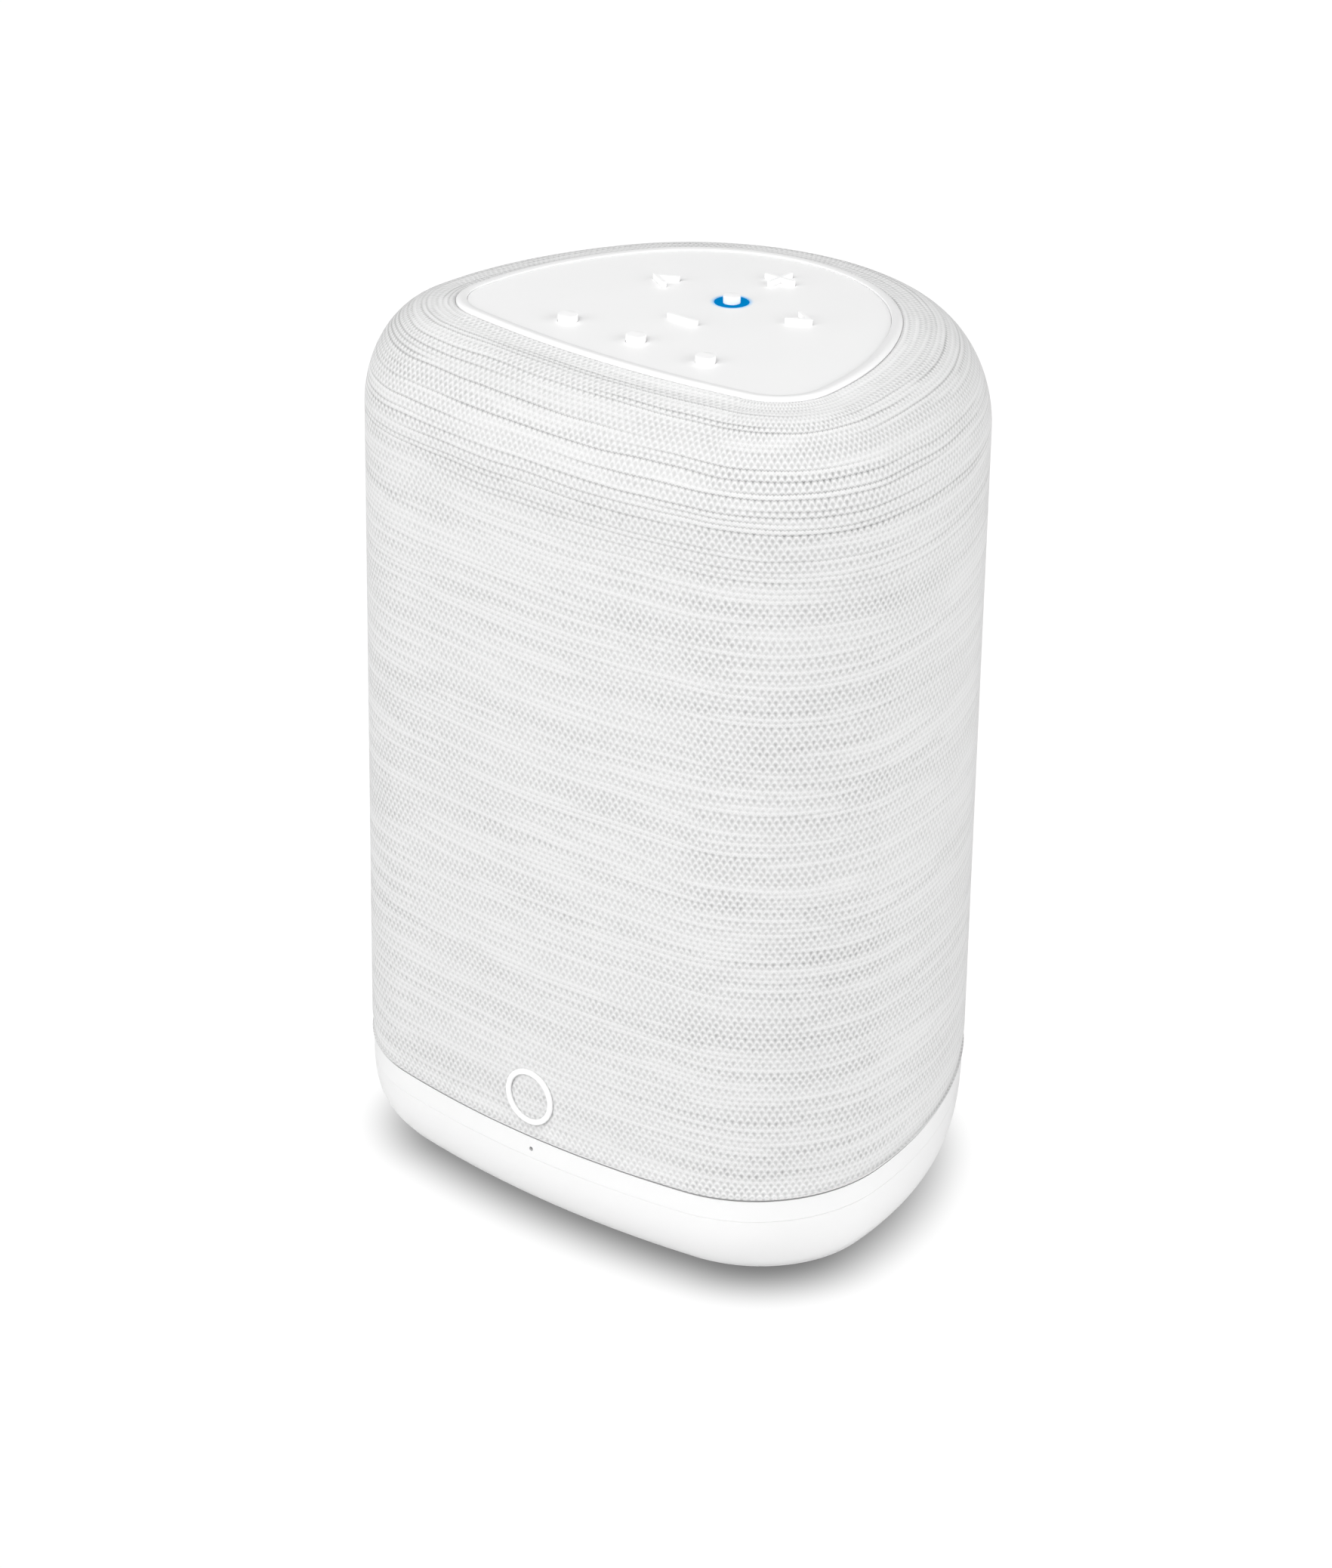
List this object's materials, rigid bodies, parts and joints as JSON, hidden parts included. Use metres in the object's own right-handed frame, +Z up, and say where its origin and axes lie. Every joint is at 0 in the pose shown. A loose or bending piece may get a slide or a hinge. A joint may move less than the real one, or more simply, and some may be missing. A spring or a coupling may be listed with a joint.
{
  "type": "wireless speaker",
  "caption": "Upright wireless speaker, rounded triangular in plan, with a knitted fabric sleeve, a smooth base and a flat top panel of raised control keys round a lit ring.",
  "frame": {"origin": "centre of the underside of the bounding box, on the plane that the rubber foot stands on", "axes": "+Z up, +Y from the front, which carries the badge, to the round back, +X to the right as seen from the front"},
  "size_m": [0.1276, 0.1098, 0.1852],
  "materials": {
    "fabric": "white knitted speaker fabric with an open eyelet texture",
    "white_plastic": "smooth white moulding, fine satin surface",
    "panel_plastic": "matt white control panel and keys",
    "blue_light": "lit blue light guide",
    "clear_plastic": "clear light pipe",
    "black_plastic": "black socket and coil mouldings",
    "inner_plastic": "dark grey inner moulding",
    "black_rubber": "black rubber",
    "grey_rubber": "grey non-slip rubber foot",
    "circuit_board": "green solder-resist on glass-fibre board",
    "steel": "zinc-plated steel",
    "aluminium": "extruded aluminium",
    "copper": "enamelled copper winding",
    "cone_paper": "dark coated paper and fabric diaphragm"
  },
  "bodies": {
    "housing": {"fabric_sleeve": "fabric", "grille_shell": "white_plastic", "front_badge": "white_plastic", "base_ring": "white_plastic", "base_pan": "white_plastic", "rubber_foot": "grey_rubber", "connector_bay": "white_plastic", "mains_inlet": "black_plastic", "mains_pin_1": "steel", "mains_pin_2": "steel", "network_socket": "steel", "audio_socket": "black_plastic", "status_light_pipe": "clear_plastic", "base_screw_1": "steel", "base_screw_2": "steel", "base_screw_3": "steel", "base_screw_4": "steel", "chassis_deck": "inner_plastic", "power_board": "circuit_board", "transformer": "black_plastic", "heat_sink": "aluminium", "main_board": "circuit_board", "wireless_antenna": "circuit_board", "cabinet_tub": "inner_plastic", "cabinet_gasket": "black_rubber", "front_baffle": "inner_plastic", "woofer_basket": "steel", "woofer_magnet": "steel", "woofer_surround": "black_rubber", "woofer_screw_1": "steel", "woofer_screw_2": "steel", "woofer_screw_3": "steel", "woofer_screw_4": "steel", "tweeter_flange": "black_plastic", "tweeter_magnet": "steel", "top_bezel": "white_plastic", "control_panel": "panel_plastic", "light_ring": "blue_light", "key_board": "circuit_board", "top_tray": "inner_plastic", "switch_preset_1": "black_plastic", "switch_preset_2": "black_plastic", "switch_preset_3": "black_plastic", "switch_play": "black_plastic", "switch_previous": "black_plastic", "switch_next": "black_plastic", "switch_volume_down": "black_plastic", "switch_volume_up": "black_plastic"},
    "key_preset_1": {"key_preset_1": "panel_plastic"},
    "key_preset_2": {"key_preset_2": "panel_plastic"},
    "key_preset_3": {"key_preset_3": "panel_plastic"},
    "key_play": {"key_play": "panel_plastic"},
    "key_previous": {"key_previous": "panel_plastic"},
    "key_next": {"key_next": "panel_plastic"},
    "key_volume_down": {"key_volume_down": "panel_plastic"},
    "key_volume_up": {"key_volume_up": "panel_plastic"},
    "woofer_diaphragm": {"woofer_cone": "cone_paper", "woofer_dust_cap": "cone_paper", "woofer_voice_coil": "copper"},
    "tweeter_diaphragm": {"tweeter_dome": "cone_paper"}
  },
  "joints": [
    {"name": "press_preset_1", "type": "slide", "parent": "housing", "child": "key_preset_1", "axis": [0, 0, -1], "range_m": [0, 0.0006], "stiffness_N_per_m": 300},
    {"name": "press_preset_2", "type": "slide", "parent": "housing", "child": "key_preset_2", "axis": [0, 0, -1], "range_m": [0, 0.0006], "stiffness_N_per_m": 300},
    {"name": "press_preset_3", "type": "slide", "parent": "housing", "child": "key_preset_3", "axis": [0, 0, -1], "range_m": [0, 0.0006], "stiffness_N_per_m": 300},
    {"name": "press_play", "type": "slide", "parent": "housing", "child": "key_play", "axis": [0, 0, -1], "range_m": [0, 0.0006], "stiffness_N_per_m": 300},
    {"name": "press_previous", "type": "slide", "parent": "housing", "child": "key_previous", "axis": [0, 0, -1], "range_m": [0, 0.0006], "stiffness_N_per_m": 300},
    {"name": "press_next", "type": "slide", "parent": "housing", "child": "key_next", "axis": [0, 0, -1], "range_m": [0, 0.0006], "stiffness_N_per_m": 300},
    {"name": "press_volume_down", "type": "slide", "parent": "housing", "child": "key_volume_down", "axis": [0, 0, -1], "range_m": [0, 0.0006], "stiffness_N_per_m": 300},
    {"name": "press_volume_up", "type": "slide", "parent": "housing", "child": "key_volume_up", "axis": [0, 0, -1], "range_m": [0, 0.0006], "stiffness_N_per_m": 300},
    {"name": "woofer_stroke", "type": "slide", "parent": "housing", "child": "woofer_diaphragm", "axis": [0, -1, 0], "range_m": [-0.003, 0.003], "stiffness_N_per_m": 900},
    {"name": "tweeter_stroke", "type": "slide", "parent": "housing", "child": "tweeter_diaphragm", "axis": [0, -1, 0], "range_m": [-0.0003, 0.0003], "stiffness_N_per_m": 400}
  ]
}
